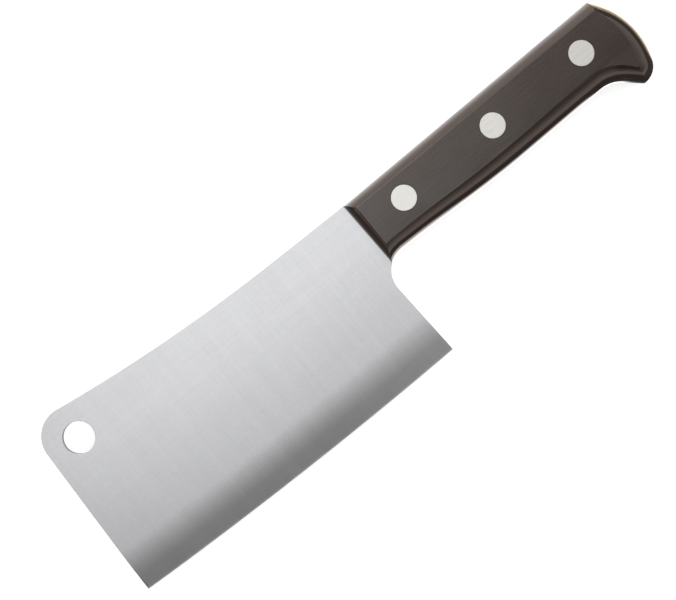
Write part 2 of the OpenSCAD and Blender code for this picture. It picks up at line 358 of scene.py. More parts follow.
def ground_band(bm, plan):
    """The ground face above the edge: its section is spun along the edge and cut at front and heel."""
    b = plan.blade
    heights = [0.0, b.cutting]
    heights += [b.bevel + (b.grind - b.bevel) * i / ROLL_STEPS for i in range(ROLL_STEPS + 1)]
    reach = (b.blade - b.edge_low) * SPIN_OVERRUN
    sweep = 2 * math.asin(reach / b.edge_radius)
    start = -math.pi / 2 - sweep / 2
    section = []
    for above in heights:
        point = polar(plan.edge_centre, b.edge_radius - above, start)
        section.append((point.x, point.y, plan.half_thickness(above)))
    spin(bm, polyline(bm, section), plan.edge_centre, sweep, EDGE_STEPS)
    cuts = [(plan.front_foot, plan.front_turn), (plan.heel_point, plan.heel_turn)]
    for point, turn in cuts:
        outward = spot(-math.sin(turn), math.cos(turn))
        bmesh.ops.bisect_plane(
            bm, geom=everything(bm), dist=WELD, plane_co=point, plane_no=outward,
            clear_outer=True, clear_inner=False)
    top = [v for v in bm.verts if abs(v.co.z - b.thickness / 2) < WELD]
    return min(top, key=lambda v: v.co.x), max(top, key=lambda v: v.co.x)


def steel_outline(bm, plan, front, heel):
    """The outline of the steel, from the top of the grind at the heel round to the front."""
    b, h = plan.blade, plan.handle
    quarter = math.pi / 2
    pen = Pen(bm, heel)
    pen.line(polar(plan.neck_centre, b.neck_radius, math.pi + b.heel_lean))
    neck_turn = bearing(plan.neck_centre, plan.neck_start)
    pen.arc(plan.neck_centre, neck_turn - math.pi - b.heel_lean, 2 * NECK_STEPS)
    pen.arc(plan.neck_centre, quarter - neck_turn, NECK_STEPS)
    for i in range(1, WAVE_STEPS + 1):
        x = plan.neck_centre.x + (plan.hook_centre.x - plan.neck_centre.x) * i / WAVE_STEPS
        pen.line(spot(x, plan.wave(x)))
    pen.arc(plan.hook_centre, -h.hook_angle, HOOK_STEPS)
    pen.line(plan.tip)
    pen.arc(plan.nose_centre, -h.nose_angle - bearing(plan.nose_centre, plan.tip), NOSE_STEPS)
    pen.arc(plan.butt_centre, bearing(plan.butt_centre, plan.top_corner) + h.nose_angle, BUTT_STEPS)
    pen.line(plan.front_corner)
    spine_turn = -quarter - b.spine_rise
    pen.line(polar(plan.spine_centre, b.spine_radius, spine_turn))
    pen.arc(plan.spine_centre, bearing(plan.spine_centre, plan.corner_centre) - spine_turn, SPINE_STEPS)
    corner_turn = bearing(plan.corner_centre, plan.spine_centre)
    pen.arc(plan.corner_centre, math.pi - b.front_lean - corner_turn, CORNER_STEPS)
    bm.edges.new((pen.vert, front))


def steel_mesh(bm, plan):
    """Blade and tang: one half is drawn, walled and rounded along its rims, and then mirrored."""
    b = plan.blade
    face = b.thickness / 2
    front, heel = ground_band(bm, plan)
    steel_outline(bm, plan, front, heel)
    hole = Vector((b.hole_inset - b.blade, b.hole_height, face))
    bmesh.ops.create_circle(
        bm, cap_ends=False, radius=b.hole_width / 2, segments=HOLE_STEPS, matrix=Matrix.Translation(hole))
    tube = plan.rivets.tube / 2 + plan.rivets.hole_clearance
    for x in plan.rivet_places.values():
        bmesh.ops.create_circle(
            bm, cap_ends=False, radius=tube, segments=RIVET_STEPS,
            matrix=Matrix.Translation((x, 0.0, face)))
    flat_rim = [e for e in bm.edges if all(abs(v.co.z - face) < WELD for v in e.verts)]
    bmesh.ops.triangle_fill(bm, edges=flat_rim, use_beauty=True, normal=(0.0, 0.0, 1.0))
    bmesh.ops.recalc_face_normals(bm, faces=bm.faces[:])

    rim = [e for e in bm.edges if e.is_boundary]
    walls = bmesh.ops.extrude_edge_only(bm, edges=rim)["geom"]
    wall_feet = [part for part in walls if isinstance(part, bmesh.types.BMVert)]
    bmesh.ops.scale(bm, vec=(1.0, 1.0, 0.0), verts=wall_feet)

    # The rims that the eye sees are rounded: the hang hole's, and the outline's ahead of the handle
    reach = b.hole_width / 2 + WELD
    rim_end = plan.neck_centre.x - b.neck_radius * RIM_END_SHARE
    thick = [e for e in rim if all(v.co.z > b.shoulder for v in e.verts)]
    hole_rim = [e for e in thick if all((v.co.xy - hole.xy).length < reach for v in e.verts)]
    outer_rim = [e for e in thick if e not in hole_rim and all(v.co.x < rim_end for v in e.verts)]
    for edges, width in ((hole_rim, b.hole_break), (outer_rim, b.edge_break)):
        bmesh.ops.bevel(
            bm, geom=edges, offset=width, segments=3, affect="EDGES", profile=0.5, material=-1)

    bmesh.ops.mirror(bm, geom=everything(bm), axis="Z", merge_dist=WELD)
    close_up(bm)
    shoulder = b.shoulder / 2
    for edge in bm.edges:
        turn = edge.calc_face_angle(0.0)
        on_shoulder = all(abs(abs(v.co.z) - shoulder) < WELD for v in edge.verts)
        edge.smooth = turn < SHARP_TURN and not on_shoulder
    bmesh.ops.transform(bm, matrix=plan.to_frame, verts=bm.verts)


def scale_mesh(bm, plan, node):
    """A handle scale: the packed solid's shape, with its creases and mitres rounded."""
    bm.from_mesh(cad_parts[node].data)
    bmesh.ops.remove_doubles(bm, verts=bm.verts, dist=WELD)
    bmesh.ops.dissolve_limit(
        bm, angle_limit=LEVEL_TURN, use_dissolve_boundaries=False, verts=bm.verts, edges=bm.edges)
    middle = plan.handle.height / 2
    inner = plan.blade.thickness / 2
    rivet_line = plan.shift.y
    reach = plan.rivets.head / 2 + plan.rivets.hole_clearance * 2
    places = [x + plan.shift.x for x in plan.rivet_places.values()]

    def on_tang(vert):
        return abs(vert.co.z - middle) < inner + WELD

    def in_hole(vert):
        return any(math.hypot(vert.co.x - x, vert.co.y - rivet_line) < reach for x in places)

    creases = [
        e for e in bm.edges
        if e.calc_face_angle(0.0) > CREASE_TURN
        and not all(on_tang(v) for v in e.verts)
        and not any(in_hole(v) for v in e.verts)
    ]
    bmesh.ops.bevel(
        bm, geom=creases, offset=plan.handle.crease_break, segments=2, affect="EDGES",
        profile=0.5, material=-1, clamp_overlap=True)
    shade_by_turn(bm)


def revolve(bm, plan, outline, x):
    """A closed solid turned about a rivet's axis, from (radius, height) points that start and end on it."""
    profile = polyline(bm, [(x + radius, 0.0, height) for radius, height in outline])
    spin(bm, profile, (x, 0.0, 0.0), math.tau, RIVET_STEPS, closed=True)
    close_up(bm)
    bmesh.ops.transform(bm, matrix=plan.to_frame, verts=bm.verts)
    shade_by_turn(bm)


def head_outline(rivets, face, way):
    """Rounded head of a rivet as (radius, height) points, from its middle down to its underside."""
    radius = rivets.head / 2
    rim = rivets.rim
    # A ring of points close inside the rim keeps the face level up to it
    points = [(0.0, face), (radius - 3 * rim, face)]
    for i in range(4):
        turn = math.pi / 6 * i
        points.append((radius - rim + rim * math.sin(turn), face - way * rim * (1 - math.cos(turn))))
    points.append((radius, face - way * rivets.head_thickness))
    return points


def pin_mesh(bm, plan, x):
    """The pin half of a rivet, with its head in the left scale."""
    r = plan.rivets
    face = plan.handle.height / 2
    foot = r.floor - (face - r.head_thickness) + r.floor_gap
    outline = head_outline(r, face, 1) + [
        (r.pin / 2, face - r.head_thickness), (r.pin / 2, foot + r.pin_tip),
        (r.pin / 2 - r.pin_tip, foot), (0.0, foot)]
    revolve(bm, plan, outline, x)


def tube_mesh(bm, plan, x):
    """The tube half of a rivet, with its head in the right scale."""
    r = plan.rivets
    face = plan.handle.height / 2
    under_head = face - r.head_thickness
    mouth = under_head - r.mouth_gap
    bore = r.pin / 2 + r.pin_clearance
    outline = head_outline(r, -face, -1) + [
        (r.tube / 2, -under_head), (r.tube / 2, mouth), (bore, mouth),
        (bore, r.floor - under_head), (0.0, r.floor - under_head)]
    revolve(bm, plan, outline, x)


def finish_piece(bm, name, node, material):
    """Turns a bmesh into the piece that stands for a node, and lets it ride on the cleaver."""
    for face in bm.faces:
        face.smooth = True
    piece = mesh_object(bm, name, bpy.data.materials[material])
    weighted = piece.modifiers.new("Flat faces stay flat", "WEIGHTED_NORMAL")
    weighted.mode = "FACE_AREA"
    weighted.weight = 100
    weighted.keep_sharp = True
    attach(piece, "root")
    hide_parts(node)


# Nodes

WHITE = (1.0, 1.0, 1.0, 1.0)


def feed(tree, node, **inputs):
    """What feeds a node, by socket name or by number as i0: a value is set, a socket is linked."""
    for key, value in inputs.items():
        numbered = key[0] == "i" and key[1:].isdigit()
        socket = node.inputs[int(key[1:]) if numbered else key.replace("_", " ")]
        if isinstance(value, bpy.types.NodeSocket):
            tree.links.new(value, socket)
        else:
            socket.default_value = value
    return node


def add_node(tree, kind, settings=None, **inputs):
    """A shader node with its settings and what feeds it."""
    node = tree.nodes.new(kind)
    for key, value in (settings or {}).items():
        setattr(node, key, value)
    return feed(tree, node, **inputs)


def maths(tree, operation, first, second=0.0, clamp=False):
    """One step of arithmetic."""
    settings = {"operation": operation, "use_clamp": clamp}
    return add_node(tree, "ShaderNodeMath", settings, i0=first, i1=second).outputs[0]


def chain(tree, operation, values):
    """Several values joined one after another by the same arithmetic."""
    result = values[0]
    for value in values[1:]:
        result = maths(tree, operation, result, value)
    return result


def total(tree, *values):
    """The sum of several values."""
    return chain(tree, "ADD", values)


def product(tree, *values):
    """The product of several values."""
    return chain(tree, "MULTIPLY", values)


def less(tree, first, second):
    """The first value less the second."""
    return maths(tree, "SUBTRACT", first, second)


def signed(tree, value, amount):
    """How far a value lies from a half, times an amount."""
    return product(tree, less(tree, value, 0.5), amount)


def ramp(tree, value, low, high, from_low=0.0, from_high=1.0, smooth=False):
    """A value's range between two bounds, carried to another range and held past its ends."""
    kind = "SMOOTHSTEP" if smooth else "LINEAR"
    node = add_node(
        tree, "ShaderNodeMapRange", {"interpolation_type": kind},
        Value=value, From_Min=from_low, From_Max=from_high, To_Min=low, To_Max=high)
    return node.outputs["Result"]


def rising(tree, value, start, end):
    """A mask that eases from 0 to 1 between two bounds."""
    return ramp(tree, value, 0.0, 1.0, start, end, smooth=True)


def falling(tree, value, start, end):
    """A mask that eases from 1 to 0 between two bounds."""
    return ramp(tree, value, 1.0, 0.0, start, end, smooth=True)


def blend_colours(tree, factor, first, second, kind="MIX"):
    """Two colours mixed."""
    settings = {"data_type": "RGBA", "blend_type": kind}
    return add_node(tree, "ShaderNodeMix", settings, i0=factor, i6=first, i7=second).outputs[2]


def noise(tree, vector, scale, detail=2.0, roughness=0.5, distortion=0.0):
    """Smooth noise about a half."""
    node = add_node(
        tree, "ShaderNodeTexNoise", Vector=vector, Scale=scale, Detail=detail, Roughness=roughness,
        Distortion=distortion)
    return node.outputs["Fac"]


def stretched(tree, vector, scale):
    """A pattern space with its own scale along each axis."""
    return add_node(tree, "ShaderNodeMapping", Vector=vector, Scale=scale).outputs[0]


def new_group(name, outputs, **inputs):
    """A node group with a Vector and other inputs, what it is given, and its output node."""
    tree = bpy.data.node_groups.new(name, "ShaderNodeTree")
    tree.interface.new_socket("Vector", in_out="INPUT", socket_type="NodeSocketVector")
    for label, default in inputs.items():
        kind = "NodeSocketFloat" if isinstance(default, float) else "NodeSocketVector"
        tree.interface.new_socket(label, in_out="INPUT", socket_type=kind).default_value = default
    for label in outputs:
        tree.interface.new_socket(label, in_out="OUTPUT", socket_type="NodeSocketFloat")
    return tree, tree.nodes.new("NodeGroupInput").outputs, tree.nodes.new("NodeGroupOutput")


def use_group(tree, name, place, **inputs):
    """The outputs of a group that is placed in a material with its own values."""
    settings = {"node_tree": bpy.data.node_groups[name]}
    return add_node(tree, "ShaderNodeGroup", settings, Vector=place, **inputs).outputs


def separate(tree, vector):
    """The three sockets for X, Y and Z of a vector."""
    return add_node(tree, "ShaderNodeSeparateXYZ", Vector=vector).outputs


def bumped(tree, height):
    """The normal of a surface that is raised by a height in metres."""
    return add_node(tree, "ShaderNodeBump", Strength=1.0, Distance=1.0, Height=height).outputs[0]


def lines_group():
    """Fine parallel lines left by a belt, and the uneven bands that they gather in."""
    tree, given, end = new_group("Belt lines", ("Lines", "Bands"), Stretch=(1.0, 1.0, 1.0))
    space = add_node(
        tree, "ShaderNodeVectorMath", {"operation": "MULTIPLY"},
        i0=given["Vector"], i1=given["Stretch"]).outputs[0]
    feed(tree, end, Lines=noise(tree, space, 1.0, 3.0, 0.65), Bands=noise(tree, space, 0.13))


def passes_group():
    """Even ridges that a grinding wheel leaves, pass beside pass, stronger here and weaker there."""
    tree, given, end = new_group("Wheel passes", ("Ridges",), Spacing=0.001)
    along = separate(tree, given["Vector"])["X"]
    waves = stretched(tree, given["Vector"], (45.0, 14.0, 14.0))
    wander = product(tree, noise(tree, waves, 1.0, 1.0), 9.0)
    turns = maths(tree, "DIVIDE", along, given["Spacing"])
    phase = total(tree, product(tree, turns, math.tau), wander)
    patches = stretched(tree, given["Vector"], (55.0, 38.0, 38.0))
    strength = ramp(tree, noise(tree, patches, 1.0), 0.1, 1.0, 0.36, 0.62)
    feed(tree, end, Ridges=product(tree, maths(tree, "SINE", phase), strength))


def cloud_group():
    """Slow, soft unevenness over a whole surface."""
    tree, given, end = new_group("Clouding", ("Clouds",), Scale=20.0)
    value = noise(tree, given["Vector"], given["Scale"], 3.0, 0.55, 0.4)
    feed(tree, end, Clouds=ramp(tree, value, -1.0, 1.0, 0.25, 0.75))


def empty_tree(owner):
    """The node tree of a new material or world, cleared."""
    owner.use_nodes = True
    owner.node_tree.nodes.clear()
    return owner.node_tree


def show(tree, shader, kind="Material"):
    """The output of a tree, fed by its last shader."""
    add_node(tree, "ShaderNodeOutput" + kind, Surface=shader.outputs[0])


def new_material(name):
    """A new material's tree, its Principled shader and its object coordinates."""
    tree = empty_tree(bpy.data.materials.new(name))
    shader = add_node(tree, "ShaderNodeBsdfPrincipled")
    show(tree, shader)
    return tree, shader, add_node(tree, "ShaderNodeTexCoord").outputs["Object"]


def shaded(tree, tint, amount):
    """A colour made lighter or darker by a signed amount."""
    factor = total(tree, amount, 1.0)
    grey = add_node(tree, "ShaderNodeCombineColor", Red=factor, Green=factor, Blue=factor).outputs[0]
    return blend_colours(tree, 1.0, tint, grey, "MULTIPLY")


def pillow(tree, across, middle, below, above, curve):
    """Height of a face that is very slightly rounded across its middle line, level past its sides."""
    off = less(tree, across, middle)
    held = maths(tree, "MINIMUM", maths(tree, "MAXIMUM", off, -below), above)
    return product(tree, product(tree, held, held), -curve)


# Distance between two passes of the wheel
PASS_SPACING = 0.000925
# Heights above the edge where the lengthwise marks begin and where they have taken over
MARKS_LOW = 0.034
MARKS_FULL = 0.056
# Height above the edge from which the flat gets paler, up to where the marks have taken over: painted light
# that falls off towards the edge
PAINTED_FALLOFF_LOW = 0.02
# Stretch ahead of the heel over which the ground part gets brighter by painted light
HEEL_RUN = 0.055


def steel_material(plan, finishes):
    """Satin steel, ground across the blade in even passes."""
    tree, shader, place = new_material("ground_steel")
    b = plan.blade
    centre = plan.to_frame @ plan.edge_centre
    flat_place = add_node(
        tree, "ShaderNodeVectorMath", {"operation": "MULTIPLY"}, i0=place, i1=(1.0, 1.0, 0.0)).outputs[0]
    reach = add_node(
        tree, "ShaderNodeVectorMath", {"operation": "DISTANCE"},
        i0=flat_place, i1=(centre.x, centre.y, 0.0)).outputs["Value"]
    above = less(tree, b.edge_radius, reach)
    ground = falling(tree, above, b.bevel, b.grind)
    # The passes fade out on the upper half of the flat, where lengthwise marks take over
    upper = rising(tree, above, MARKS_LOW, MARKS_FULL)
    passes = product(
        tree, use_group(tree, "Wheel passes", place, Spacing=PASS_SPACING)["Ridges"],
        ramp(tree, upper, 1.0, 0.15))
    across = use_group(tree, "Belt lines", place, Stretch=(1500.0, 30.0, 30.0))
    along = use_group(tree, "Belt lines", place, Stretch=(22.0, 900.0, 60.0))
    marks = product(tree, signed(tree, along["Lines"], 0.12), ramp(tree, upper, 0.45, 1.0))
    grain = noise(tree, place, 900.0, 2.0, 0.6)
    clouds = use_group(tree, "Clouding", place, Scale=60.0)["Clouds"]
    # The last term darkens the lower flat and the ground part towards the edge with painted light
    amount = total(
        tree, product(tree, passes, 0.05),
        signed(tree, across["Lines"], 0.13),
        signed(tree, across["Bands"], 0.08),
        signed(tree, grain, 0.11),
        product(tree, clouds, 0.015),
        marks,
        ramp(tree, above, -0.1, 0.0, PAINTED_FALLOFF_LOW, MARKS_FULL))
    heel = plan.shift.x - b.neck_gap
    # The ground part gets brighter towards the heel: painted light
    painted_heel_light = ramp(tree, separate(tree, place)["X"], 0.0, 0.17, heel - HEEL_RUN, heel)
    # The ground part's colour is darker partly by its finish and partly by painted shade
    base = blend_colours(
        tree, ground, (*finishes.steel, 1.0),
        shaded(tree, (*finishes.ground_steel, 1.0), painted_heel_light))
    rough = total(
        tree, ramp(tree, ground, 0.324, 0.349), signed(tree, across["Lines"], 0.06),
        product(tree, passes, 0.01))
    height = total(tree, signed(tree, across["Lines"], 4e-6), product(tree, passes, 6e-7))
    feed(
        tree, shader, Base_Color=shaded(tree, base, amount), Metallic=1.0, Roughness=rough,
        Normal=bumped(tree, height))


# Stretch before the butt in which the belt ran over the crease, and how deep it bit there
BUTT_RUN = 0.014
BUTT_BITE = 0.0004
# How deep it bit along the top edge, how far back it did so fully, where that ended, and the
# height over which the mask for it sets in
TOP_BITE = 0.0002
TOP_FULL = 0.05
TOP_END = 0.085
TOP_BLEND = 0.0005
# Depth over which the sanded flat passes into the crown, and over which its rim turns paler
FLAT_EDGE = 0.00005
WORN_EDGE = 0.00004
# Painted shade in the hollow of the hook: its two ends back from the butt, its top, and its
# depths below the flat at the crease and at the outline, each as the place where the mask starts and ends
# its turn
HOLLOW_FRONT = (-0.018, -0.0145)
HOLLOW_REAR = (-0.0085, -0.0075)
HOLLOW_TOP = (0.007, 0.009)
HOLLOW_CREASE = (0.00002, 0.0001)
HOLLOW_DEEP = (0.0009, 0.0018)
# How far from the rivet line the flat is rounded: downward, and upward at the front and the butt
ROUND_BELOW = 0.0095
ROUND_ABOVE = (0.0086, 0.0096)
# Drop of the rounded flat, in metres for each square metre of distance from the rivet line
FLAT_BEND = 5.0


def painted_hook_shade(tree, x, y, sunk, butt_end):
    """Mask of painted shade: 1 in the hollow of the hook, next to its crease, and 0 elsewhere."""
    return product(
        tree,
        rising(tree, x, *(butt_end + way for way in HOLLOW_FRONT)),
        falling(tree, x, *(butt_end + way for way in HOLLOW_REAR)),
        falling(tree, y, *HOLLOW_TOP),
        ramp(tree, sunk, 0.0, 1.0, *HOLLOW_CREASE),
        falling(tree, sunk, *HOLLOW_DEEP))


def scale_material(plan, finishes):
    """Dark plastic: sanded lengthwise on its flat, polished on its crown."""
    tree, shader, place = new_material("sanded_plastic")
    x, y, z = separate(tree, place)
    middle = plan.handle.height / 2
    from_middle = maths(tree, "ABSOLUTE", less(tree, z, middle))
    sunk = less(tree, middle, from_middle)
    sanding = use_group(tree, "Belt lines", place, Stretch=(70.0, 2600.0, 2600.0))["Lines"]
    grain = noise(tree, place, 1500.0, 2.0, 0.6)
    clouds = use_group(tree, "Clouding", place, Scale=45.0)["Clouds"]
    # The belt ran a little over the butt's crease, further at some lines than at others
    front = plan.shift.x
    butt_end = front + plan.handle.handle
    ticks = noise(tree, stretched(tree, place, (60.0, 2200.0, 60.0)), 1.0, 1.0)
    butt = ramp(tree, x, 0.0, 1.0, butt_end - BUTT_RUN, butt_end)
    over_butt = product(tree, ramp(tree, ticks, 0.0, BUTT_BITE, 0.5, 0.7), butt)
    # Along the front half of the top edge it took the crease off a little, all the way
    top_line = plan.shift.y + plan.handle.top / 2
    over_top = product(
        tree, ramp(tree, x, TOP_BITE, 0.0, front + TOP_FULL, front + TOP_END),
        ramp(tree, y, 0.0, 1.0, top_line, top_line + TOP_BLEND))
    overrun = total(tree, over_butt, over_top)
    flat = maths(
        tree, "SUBTRACT", 1.0, maths(tree, "DIVIDE", sunk, total(tree, overrun, FLAT_EDGE)), clamp=True)
    # Paler at the front than at the butt: partly deeper sanding there, partly painted light that falls off
    # towards the butt
    depth = ramp(tree, x, 1.0, -0.03, front, butt_end)
    worn = ramp(tree, sunk, 0.0, 0.5, 0.0, WORN_EDGE)
    haze_and_painted_light = total(
        tree, depth, worn, signed(tree, sanding, 0.8), signed(tree, grain, 0.7),
        product(tree, clouds, 0.12))
    haze_and_painted_light = product(tree, haze_and_painted_light, flat)
    base = blend_colours(tree, haze_and_painted_light, (*finishes.scale, 1.0), (*finishes.scale_dust, 1.0))
    # Painted shade darkens the hollow of the hook
    base = shaded(tree, base, product(tree, painted_hook_shade(tree, x, y, sunk, butt_end), -0.65))
    rough = total(
        tree, ramp(tree, flat, 0.1, 0.42), signed(tree, sanding, 0.08), product(tree, clouds, 0.01))
    above = ramp(tree, x, *ROUND_ABOVE, front, butt_end)
    rounded = pillow(tree, y, plan.shift.y, ROUND_BELOW, above, FLAT_BEND)
    height = total(tree, rounded, product(tree, signed(tree, sanding, 2.5e-6), flat))
    feed(
        tree, shader, Base_Color=base, Roughness=rough, Normal=bumped(tree, height),
        Specular_Tint=(1.0, 0.83, 0.755, 1.0))


def rivet_material(plan, finishes):
    """Pale metal that was sanded flush together with the scales."""
    tree, shader, place = new_material("sanded_rivet")
    sanding = use_group(tree, "Belt lines", place, Stretch=(90.0, 1500.0, 1500.0))["Lines"]
    grain = noise(tree, place, 1800.0, 2.0, 0.6)
    clouds = use_group(tree, "Clouding", place, Scale=160.0)["Clouds"]
    # The scratches are faint on the front rivet and plainest on the middle one
    along = separate(tree, place)["X"]
    front, middle, rear = [x + plan.shift.x for x in plan.rivet_places.values()]
    # They change between the rivets, a head's width clear of each middle
    clear = plan.rivets.head
    strength = total(
        tree, ramp(tree, along, 0.12, 0.48, front + clear, middle - clear),
        ramp(tree, along, 0.0, -0.14, middle + clear, rear - clear))
    # The last two terms darken the middle and rear rivets: painted light that falls off towards the butt
    amount = total(
        tree, signed(tree, sanding, strength), signed(tree, grain, 0.07),
        product(tree, clouds, 0.015),
        ramp(tree, along, 0.0, -0.06, front + clear, middle - clear),
        ramp(tree, along, 0.0, -0.03, middle + clear, rear - clear))
    feed(
        tree, shader, Base_Color=shaded(tree, (*finishes.rivet, 1.0), amount), Metallic=1.0,
        Roughness=ramp(tree, sanding, 0.28, 0.4, 0.2, 0.8),
        Normal=bumped(tree, signed(tree, sanding, 4e-6)))


# Studio

def show_by_ray(tree, plain, white, kind="Material"):
    """The output of a tree: white to the rays of camera, gloss and glass, and plain to the rest."""
    path = tree.nodes.new("ShaderNodeLightPath").outputs
    both = total(tree, path["Is Camera Ray"], path["Is Glossy Ray"])
    seen = maths(tree, "ADD", both, path["Is Transmission Ray"], clamp=True)
    show(tree, add_node(
        tree, "ShaderNodeMixShader", Fac=seen, i1=plain.outputs[0], i2=white.outputs[0]), kind)


def floor_material():
    """A pale floor that shows white and keeps the cleaver's shadow."""
    material = bpy.data.materials.new("floor")
    tree = empty_tree(material)
    paper = add_node(tree, "ShaderNodeBsdfDiffuse", Color=(0.8, 0.8, 0.8, 1.0), Roughness=0.5)
    glow = add_node(tree, "ShaderNodeEmission", Color=WHITE, Strength=0.585)
    lit = add_node(tree, "ShaderNodeAddShader", i0=paper.outputs[0], i1=glow.outputs[0])
    show_by_ray(tree, paper, lit)
    return material


def card_material(name, level):
    """A plain card of one grey."""
    material = bpy.data.materials.new(name)
    tree = empty_tree(material)
    show(tree, add_node(tree, "ShaderNodeEmission", Color=WHITE, Strength=level))
    return material


def stage_plane(name, width, depth, matrix, material):
    """A flat sheet that belongs to the studio."""
    bm = bmesh.new()
    bmesh.ops.create_grid(bm, x_segments=1, y_segments=1, size=0.5)
    bmesh.ops.scale(bm, vec=(width, depth, 1.0), verts=bm.verts)
    bmesh.ops.transform(bm, matrix=matrix, verts=bm.verts)
    sheet = mesh_object(bm, name, material)
    return sheet


def build_world(scene):
    """White all round for what looks at it directly, and a plain level for the rest."""
    world = bpy.data.worlds.new("studio")
    scene.world = world
    tree = empty_tree(world)
    fill = add_node(tree, "ShaderNodeBackground", Color=WHITE, Strength=0.82)
    white = add_node(tree, "ShaderNodeBackground", Color=WHITE, Strength=1.0)
    show_by_ray(tree, fill, white, "World")


# Cards of the studio. They stand only in what shines: the steel, the rivets and the polished rim
# of the handle reflect them. The window in them is over the cleaver, on the spine's side.
FAR = 3.2
CARD_HEIGHT = 1.2
WINDOW_LEFT = -0.45
WINDOW_RIGHT = 0.453
WINDOW_LOW = -0.044
WINDOW_HIGH = 1.6
VEIL_LOW = -0.291
# Name, left, right, low and high edge, and brightness of each card overhead
CEILING = (
    ("card_below_far", -FAR, FAR, -2.35, -1.6, 0.8),
    ("card_below_middle", -FAR, 0.75, -1.6, -1.0, 0.28),
    ("card_below", -FAR, 0.75, -1.0, VEIL_LOW, 0.105),
    ("card_left_far", -FAR, -1.45, VEIL_LOW, WINDOW_HIGH, 0.06),
    ("card_left", -1.45, WINDOW_LEFT, VEIL_LOW, WINDOW_HIGH, 0.3),
    ("card_right", WINDOW_RIGHT, 0.72, VEIL_LOW, WINDOW_HIGH, 0.105),
    ("veil", WINDOW_LEFT, WINDOW_RIGHT, VEIL_LOW, WINDOW_LOW, 0.767),
)
# Upright cards round the cleaver: name, middle, turn about Z, low and high edge, and brightness
WALLS = (
    ("wall_below", (0.0, -3.0), 0.0, 0.0, 0.37, 0.1),
    ("wall_below_bright", (0.0, -2.95), 0.0, 0.37, 1.5, 1.5),
    ("wall_right", (3.0, 0.0), math.pi / 2, 0.0, 0.26, 0.1),
    ("wall_right_bright", (2.95, 0.0), math.pi / 2, 0.26, 1.4, 1.45),
    ("wall_right_high", (2.95, 0.0), math.pi / 2, 1.4, 2.6, 1.05),
    ("wall_left", (-3.1, 0.0), math.pi / 2, 0.3, CARD_HEIGHT, 0.1),
)


def card(name, width, depth, matrix, material):
    """A sheet for gloss: the camera and diffuse light don't see it, and it casts no shadow."""
    sheet = stage_plane(name, width, depth, matrix, material)
    sheet.visible_camera = False
    sheet.visible_diffuse = False
    sheet.visible_shadow = False


# Slant of the bright part's end beyond the butt's top corner, in X for each Y
CORNER_SLANT = 0.6
# Height of the table's cards, just clear of the floor
TABLE_LIFT = 0.0002


def table_material(scene):
    """What gloss sees on the table: bright close to the handle and above it, dark elsewhere."""
    material = bpy.data.materials.new("table")
    tree = empty_tree(material)
    plan = Plan(scene)
    corner = plan.to_frame @ spot(0.0, -plan.handle.grip)
    other = plan.to_frame @ spot(plan.handle.handle, plan.handle.top)
    x, y, _ = separate(tree, add_node(tree, "ShaderNodeTexCoord").outputs["Object"])
    past = []
    for along, low, high in ((x, corner.x, other.x), (y, corner.y, other.y)):
        middle = less(tree, along, (low + high) / 2)
        beyond = less(tree, maths(tree, "ABSOLUTE", middle), (high - low) / 2)
        past.append(maths(tree, "POWER", maths(tree, "MAXIMUM", beyond, 0.0), 2.0))
    away = maths(tree, "SQRT", total(tree, *past))
    # Under the hook the table is dark right up to the handle
    hook = product(
        tree, rising(tree, x, other.x - 0.033, other.x - 0.023), falling(tree, y, -0.006, 0.0))
    butt = rising(tree, x, other.x - 0.012, other.x)
    neck = ramp(tree, x, 0.012, 0.0, corner.x + 0.01, corner.x + 0.045, smooth=True)
    wider = total(tree, product(tree, butt, 0.01), neck)
    near = product(tree, falling(tree, less(tree, away, wider), 0.012, 0.03), less(tree, 1.0, hook))
    # The bright part reaches out past the top corner of the butt
    turned = less(tree, x, product(tree, y, CORNER_SLANT))
    bound = other.x - CORNER_SLANT * other.y
    above = product(tree, rising(tree, y, 0.012, 0.03), falling(tree, turned, bound, bound + 0.012))
    dark = ramp(tree, x, 0.07, 0.2, other.x, other.x + 0.02)
    rim = ramp(tree, butt, 3.2, 2.2)
    beside = add_node(tree, "ShaderNodeMix", Factor=near, A=dark, B=rim).outputs[0]
    bright = ramp(tree, away, 3.6, 2.8, 0.0, 0.09)
    level = add_node(tree, "ShaderNodeMix", Factor=above, A=beside, B=bright).outputs[0]
    tint = blend_colours(tree, product(tree, butt, near), WHITE, (1.0, 0.81, 0.58, 1.0))
    show(tree, add_node(tree, "ShaderNodeEmission", Color=tint, Strength=level))
    return material


def build_cards(scene):
    """Bright and dark cards around the cleaver, which only gloss sees."""
    for name, left, right, low, high, level in CEILING:
        middle = ((left + right) / 2, (low + high) / 2, CARD_HEIGHT)
        card(name, right - left, high - low, Matrix.Translation(middle), card_material(name, level))
    for name, middle, turn, low, high, level in WALLS:
        place = Matrix.Translation((*middle, (low + high) / 2))
        upright = Matrix.Rotation(turn, 4, "Z") @ Matrix.Rotation(math.pi / 2, 4, "X")
        card(name, 2 * FAR, high - low, place @ upright, card_material(name, level))
    place = Matrix.Translation((1.485, -1.05, TABLE_LIFT))
    card("table", 3.03, 3.9, place, table_material(scene))
    place = Matrix.Translation((-1.53, -1.4825, TABLE_LIFT))
    card("table_left", 3.0, 3.035, place, card_material("table_left", 0.36))


def build_camera(scene):
    """The photograph's camera, straight above the cleaver."""
    studio = scene.cleaver_studio
    data = bpy.data.cameras.new("camera")
    data.sensor_width = 36.0
    data.lens = data.sensor_width * studio.camera_height / studio.field
    data.clip_start = 0.01
    data.clip_end = 50.0
    camera = new_object("camera", data)
    camera.location = (*studio.camera_side, studio.camera_height + scene.cleaver_handle.height / 2)
    camera.rotation_euler = (0.0, 0.0, studio.camera_turn)
    scene.camera = camera


